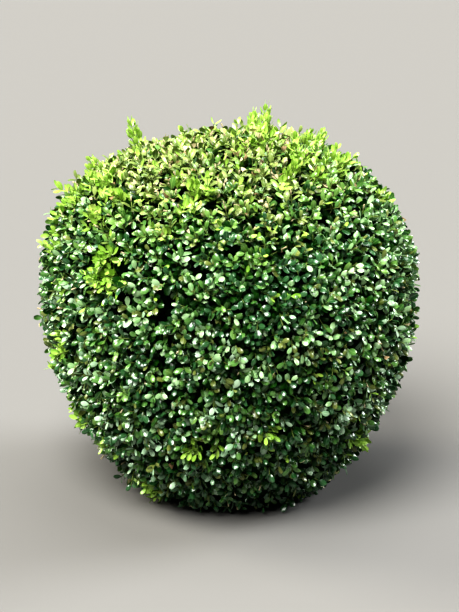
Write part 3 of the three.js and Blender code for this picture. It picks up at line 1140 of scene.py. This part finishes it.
clear_of_ground = lowest_points(leaves) > 0
overshoot = -depth_of(tip_points(leaves))
in_the_way = (overshoot > CUT_TOLERANCE) & ~tip_regrown[shoot]
is_cut = in_the_way & lucky(by_sun(CUT_SHARE, leaf_sun))
leaves["length"][in_the_way & (overshoot > 2 * CUT_TOLERANCE) & ~is_cut] *= SHORTENED
print("in the way", in_the_way.sum(), "cut", is_cut.sum())

# %% [markdown]
# ## Sun and new growth
#
# Its sun decides a leaf's green, and a sharp border between two greens would look painted on. The sunny
# greens are lighter, partly as sun-grown leaves are and partly as painted light. So each shoot has a mood,
# partly from slow waves over the surface and partly at random, and its leaves vary round it. New growth is
# yellow-green: one pair at an old tip, more on a regrown one or in a fresh patch, and a darker fresh green
# in shade, which is painted shade.

# %% Find the sunny and the new leaves
# Each set of waves: height, scale, phase.
MOOD_WAVES = (0.10, 26, 1.9)
MOOD_SPREAD, LEAF_SPREAD = 0.13, 0.05
NEW_SHARE = {"side": 0.02, "top": 0.30, "fresh": 0.95}
NEW_PAIRS, REGROWN_PAIRS = 1, 3
PATCH_PAIRS, PATCH_EDGE = 2, 0.4


def waves(points, height, scale, phase):
    x, y, z = (points * scale + phase).T
    wave = np.sin(x + 1.3 * np.sin(0.7 * y)) + np.sin(y + 1.1 * np.sin(0.8 * z))
    return height * ((wave + np.sin(z + 1.2 * np.sin(0.9 * x))) / 3)


mood = waves(shoot_ends, *MOOD_WAVES) + random.normal(0, MOOD_SPREAD, SHOOT_COUNT)
sunny = leaf_sun + mood[shoot] + random.normal(0, LEAF_SPREAD, leaf_count)
new_shoot = random.random(SHOOT_COUNT) < by_place(NEW_SHARE, tip_sun, tip_fresh)
new_pairs = np.where(tip_regrown, REGROWN_PAIRS, NEW_PAIRS) + PATCH_PAIRS * (tip_fresh > PATCH_EDGE)
is_new = new_shoot[shoot] & (pair < new_pairs[shoot])
print("new leaves:", is_new.sum())

# %% [markdown]
# ## The greens of the sides
#
# The sides are a glossy dark green with olive leaves among it, and pale leaves that are partly paler
# leaves and partly painted glints. Higher up the pale ones grow more and the shade ones fewer, which is
# painted light, and low down many pale ones turn cool grey-green, a painted reflection of the sky. Pure
# chance would speckle them evenly, so the leaves of a shoot share much of their luck, and like leaves come
# in sprays. Ranking the luck keeps each green at its share.

# %% Rank the leaves of the sides
SIDE_SHARES = {"shade": 0.32, "side": 0.32, "olive": 0.10, "pale": 0.26}
SHOOT_LUCK, LEAF_LUCK = 0.55, 0.45
LUCK_WAVES = (0.06, 19, 4.2)
# Luck rises with height: more pale leaves above and more shade ones below, painted light from above.
PAINTED_LIGHT_UPWARDS = 0.18
ALL_SKY_GLINT_BELOW, SKY_GLINT_BELOW = 0.10, 0.42

root_height = leaves["root"][:, 2]
luck = SHOOT_LUCK * random.random(SHOOT_COUNT)[shoot] + LEAF_LUCK * random.random(leaf_count)
luck += waves(leaves["root"], *LUCK_WAVES) + PAINTED_LIGHT_UPWARDS * (root_height - WIDEST_HEIGHT)
rank = np.argsort(np.argsort(luck)) / leaf_count
place = np.searchsorted(np.cumsum(list(SIDE_SHARES.values())), rank)
side_kind = np.array(list(SIDE_SHARES))[np.minimum(place, len(SIDE_SHARES) - 1)]
# Low down, pale leaves turn cool grey-green: a painted reflection of the sky.
is_sky_glint = (side_kind == "pale") & lucky(1 - smooth_step(ALL_SKY_GLINT_BELOW, SKY_GLINT_BELOW, root_height))
side_kind = np.where(is_sky_glint, "cool", side_kind)
print("cool ones, if all leaves were side leaves:", is_sky_glint.sum())

# %% [markdown]
# ## Dealing the leaves out by colour
#
# The top is olive and yellow-green with straw-coloured flecks, the sides are dark, and the leaves further
# in and at the foot are darker still. The top's lighter greens are partly its own colour and partly painted
# light, and the darker greens further in and at the foot are painted shade. An export would muddle a
# painted pattern, so each colour is its own piece, and a leaf goes into it by its sun, its height and how
# far it is from the tip.

# %% Deal the leaves
TOP_SUN, MIDDLE_SUN, NEW_SUN = 0.66, 0.24, 0.25
# By pair, from the tip down: chance of the dark inner green on the sides, the same on the top, and chance
# of the darker side green on the top. Both darken leaves further from the tip: painted shade.
INNER_SHADE_CHANCE = np.array([0, 0.12, 0.60, 1, 1])
TOP_INNER_SHADE_CHANCE = np.array([0, 0, 0.15, 0.6, 1])
TOP_SIDE_SHADE_CHANCE = np.array([0, 0, 0.3, 0.8, 1])
OUTER_PAIRS = 2
FOOT_SHADE_HEIGHT = 0.10
DRY_SHARE, STRAW_SHARE = {"side": 0.005, "top": 0.140}, 0.64

on_top = sunny > TOP_SUN
outer = pair < OUTER_PAIRS
# Leaves low at the foot get the dark shade and inner greens: painted shade under the ball.
shaded_foot = root_height < FOOT_SHADE_HEIGHT * random.random(leaf_count)
# Sunny leaves get the lighter top and middle greens: partly their own colour, partly painted light.
kinds = np.where(on_top, "top", np.where(sunny > MIDDLE_SUN, "middle", side_kind))
kinds = np.where(on_top & lucky(TOP_SIDE_SHADE_CHANCE[pair]), "side", kinds)
kinds = np.where(lucky(np.where(on_top, TOP_INNER_SHADE_CHANCE[pair], INNER_SHADE_CHANCE[pair])), "inner", kinds)
kinds = np.where(shaded_foot, np.where(outer, "shade", "inner"), kinds)
# New growth gets the lighter new green in the sun and the darker fresh green in shade: painted light and
# shade.
kinds = np.where(is_new, np.where(leaf_sun > NEW_SUN, "new", "fresh"), kinds)
is_dry = outer & lucky(by_sun(DRY_SHARE, leaf_sun))
kinds = np.where(is_dry, np.where(lucky(STRAW_SHARE), "straw", "rust"), kinds)
# A leaf that would reach into the ground, or whose place a stub has taken, is left out.
taken_by_stub = tip_stub[shoot] & (pair == 0)
kinds = np.where(clear_of_ground & ~taken_by_stub, kinds, "none")
for kind, count in zip(*np.unique(kinds, return_counts=True)):
    print(kind, count)

# %% [markdown]
# ## The pattern of a leaf
#
# A box leaf is waxy, with a paler midrib, and no two have quite the same green. An image would fix that
# at one size. The group draws the midrib from the pattern coordinates and takes each leaf's place between
# two greens from its `tone`, with a fine mottle over both.

# %% Draw the leaf
LEAF_COLOURS = ("Dark colour", "Light colour", "Rib colour")
PLAIN_GREEN = (0.06, 0.14, 0.02, 1)

inputs = {**dict.fromkeys(LEAF_COLOURS, PLAIN_GREEN), "Roughness": 0.3}
group, given, place = surface_group("leaf_blade", inputs)
tone = add_node(group, "ShaderNodeAttribute", attribute_name="tone").outputs["Fac"]
pattern = add_node(group, "ShaderNodeUVMap", uv_map="pattern").outputs["UV"]
across = add_node(group, "ShaderNodeSeparateXYZ", {0: pattern}).outputs["X"]
mottle = noise(group, place, 260.0, detail=2.0)
from_rib = calculate(group, "ABSOLUTE", calculate(group, "SUBTRACT", across, 0.5))
rib_share = remap(group, from_rib, 0.012, 0.045, 0.55, 0.0)
toned = calculate(group, "MULTIPLY_ADD", mottle, 0.5, tone)
light_share = calculate(group, "SUBTRACT", toned, 0.25, clamp=True)
blade = mix_colour(group, light_share, given["Dark colour"], given["Light colour"])
made = {
    "Colour": mix_colour(group, rib_share, blade, given["Rib colour"]),
    "Roughness": calculate(group, "MULTIPLY_ADD", mottle, 0.16, given["Roughness"]),
    "Normal": bump(group, mottle, 0.25, 0.0006),
}
add_node(group, "NodeGroupOutput", made)
leaf_blade = group
print("leaf nodes:", len(leaf_blade.nodes))

# %% [markdown]
# ## The leaf colours
#
# Each kind of leaf places the group with its own two greens and midrib. The leaves of the sides have the
# waxy coat that makes them glitter, the sunny ones are duller, and dry ones have none.

# %% Mix the leaf colours
# Each kind: dark green, light green, midrib, roughness, sheen of the blade, waxy coat.
LEAF_LOOKS = {
    # The deep and inner greens are nearly black: painted shade inside the crown.
    "deep_shade": ((0.001, 0.014, 0.000), (0.004, 0.034, 0.001), (0.008, 0.040, 0.003), 0.50, 0.08, 0.0),
    "inner": ((0.002, 0.021, 0.001), (0.008, 0.054, 0.003), (0.030, 0.085, 0.012), 0.36, 0.18, 0.0),
    "shade": ((0.005, 0.048, 0.007), (0.050, 0.148, 0.054), (0.100, 0.200, 0.090), 0.25, 0.32, 1.0),
    "side": ((0.016, 0.078, 0.009), (0.114, 0.256, 0.062), (0.180, 0.310, 0.100), 0.26, 0.35, 0.9),
    "olive": ((0.050, 0.080, 0.012), (0.190, 0.232, 0.060), (0.250, 0.280, 0.100), 0.30, 0.35, 0.6),
    # The pale green is partly paler leaves and partly painted glints.
    "pale": ((0.155, 0.300, 0.110), (0.375, 0.560, 0.305), (0.400, 0.550, 0.300), 0.32, 0.42, 0.6),
    # The cool grey-green is a painted reflection of the sky on the low leaves.
    "cool": ((0.185, 0.345, 0.185), (0.480, 0.655, 0.465), (0.500, 0.655, 0.450), 0.30, 0.50, 0.9),
    # The middle and top greens are lighter: partly their own colour, partly painted light.
    "middle": ((0.038, 0.120, 0.013), (0.200, 0.360, 0.088), (0.270, 0.390, 0.120), 0.30, 0.40, 0.6),
    "top": ((0.064, 0.124, 0.016), (0.305, 0.385, 0.115), (0.350, 0.440, 0.160), 0.34, 0.50, 0.3),
    "new": ((0.190, 0.370, 0.030), (0.420, 0.610, 0.125), (0.480, 0.630, 0.200), 0.36, 0.50, 0.3),
    # Fresh is new growth in shade, a little darker than new: painted shade.
    "fresh": ((0.145, 0.310, 0.026), (0.375, 0.580, 0.105), (0.430, 0.600, 0.160), 0.34, 0.50, 0.4),
    "straw": ((0.400, 0.320, 0.170), (0.700, 0.610, 0.400), (0.660, 0.580, 0.400), 0.60, 0.50, 0.0),
    "rust": ((0.150, 0.088, 0.036), (0.350, 0.245, 0.120), (0.350, 0.260, 0.150), 0.55, 0.50, 0.0),
}

leaf_looks = {}
for kind, (*given, specular, coat) in LEAF_LOOKS.items():
    leaf_looks[kind] = grouped_material(f"leaf_{kind}", leaf_blade, given, specular, coat)
print("leaf materials:", ", ".join(leaf_looks))

# %% [markdown]
# ## Copying the leaves
#
# Each master is copied to all its leaves at once: its points are turned to a leaf's direction and face,
# scaled to its length and moved to its root. Instances would be lighter, but an export loses them. A kind
# with too many triangles is shared out over several pieces.

# %% Write the helpers for leaf pieces
TRIANGLE_LIMIT = 190_000


def copied_leaves(master, chosen, first_point):
    """The master's arrays, once for every chosen leaf, with its points counted from a first one."""
    points, triangles, pattern = MASTERS[master]
    along, face = chosen["along"], chosen["face"]
    side = np.cross(along, face)
    turned = (
        points[None, :, 0:1] * side[:, None]
        + points[None, :, 1:2] * along[:, None]
        + points[None, :, 2:3] * face[:, None]
    )
    placed = chosen["root"][:, None] + turned * chosen["length"][:, None, None]
    count, per_leaf = placed.shape[:2]
    counted_on = triangles[None] + np.arange(count)[:, None, None] * per_leaf + first_point
    tone = np.repeat(chosen["tone"], per_leaf)
    return placed.reshape(-1, 3), counted_on.reshape(-1, 3), np.tile(pattern, (count, 1)), tone


def add_leaves(kind, sets, look=None):
    """One or more pieces of a kind of leaf, each below the triangle limit."""
    parts = []
    for master, chosen in sets:
        parts.append(copied_leaves(master, chosen, sum(len(part[0]) for part in parts)))
    points, triangles, pattern, tone = map(np.concatenate, zip(*parts))
    share_count = math.ceil(len(triangles) / TRIANGLE_LIMIT)
    for part, faces in enumerate(np.array_split(triangles, share_count)):
        used, compact = np.unique(faces, return_inverse=True)
        name = f"leaves_{kind}" if share_count == 1 else f"leaves_{kind}_{part + 1}"
        mesh = mesh_from_arrays(name, points[used], compact.reshape(-1, 3), pattern[used], tone[used])
        add_piece(mesh, leaf_looks[look or kind])


print("most leaves in one piece:", TRIANGLE_LIMIT // len(MASTERS["broad"][1]))

# %% [markdown]
# ## The leaf pieces
#
# Broad and curled leaves alternate at random among the greens, new growth gets the young leaf, and a
# caught or dry leaf the cut one. The straw-coloured edge of a caught leaf is a piece of its own.

# %% Make the leaf pieces
GREEN_KINDS = ["inner", *SIDE_SHARES, "cool", "middle", "top"]
# Each tone: its middle and its spread.
TONE, TUFT_TONE = (0.5, 0.27), (0.6, 0.2)
CURLED_SHARE = 0.42

leaves["tone"] = random.normal(*TONE, leaf_count).clip(0, 1)
inner_leaves["tone"] = random.random(len(inner_leaves["pair"]))
tuft_leaves["tone"] = random.normal(*TUFT_TONE, len(tuft_leaves["pair"])).clip(0, 1)
is_curled = lucky(CURLED_SHARE)
for kind in GREEN_KINDS:
    chosen = kinds == kind
    whole = chosen & ~is_cut
    broad = ("broad", picked(leaves, whole & ~is_curled))
    curled = ("curled", picked(leaves, whole & is_curled))
    add_leaves(kind, [broad, curled, ("cut", picked(leaves, chosen & is_cut))])
add_leaves("deep_shade", [("plain", inner_leaves)])
add_leaves("new", [("young", picked(leaves, kinds == "new")), ("young", tuft_leaves)])
add_leaves("fresh", [("young", picked(leaves, kinds == "fresh"))])
for kind in ("straw", "rust"):
    add_leaves(kind, [("cut", picked(leaves, kinds == kind))])
cut_and_seen = is_cut & np.isin(kinds, GREEN_KINDS[1:])
add_leaves("cut_edges", [("cut_edge", picked(leaves, cut_and_seen))], look="straw")
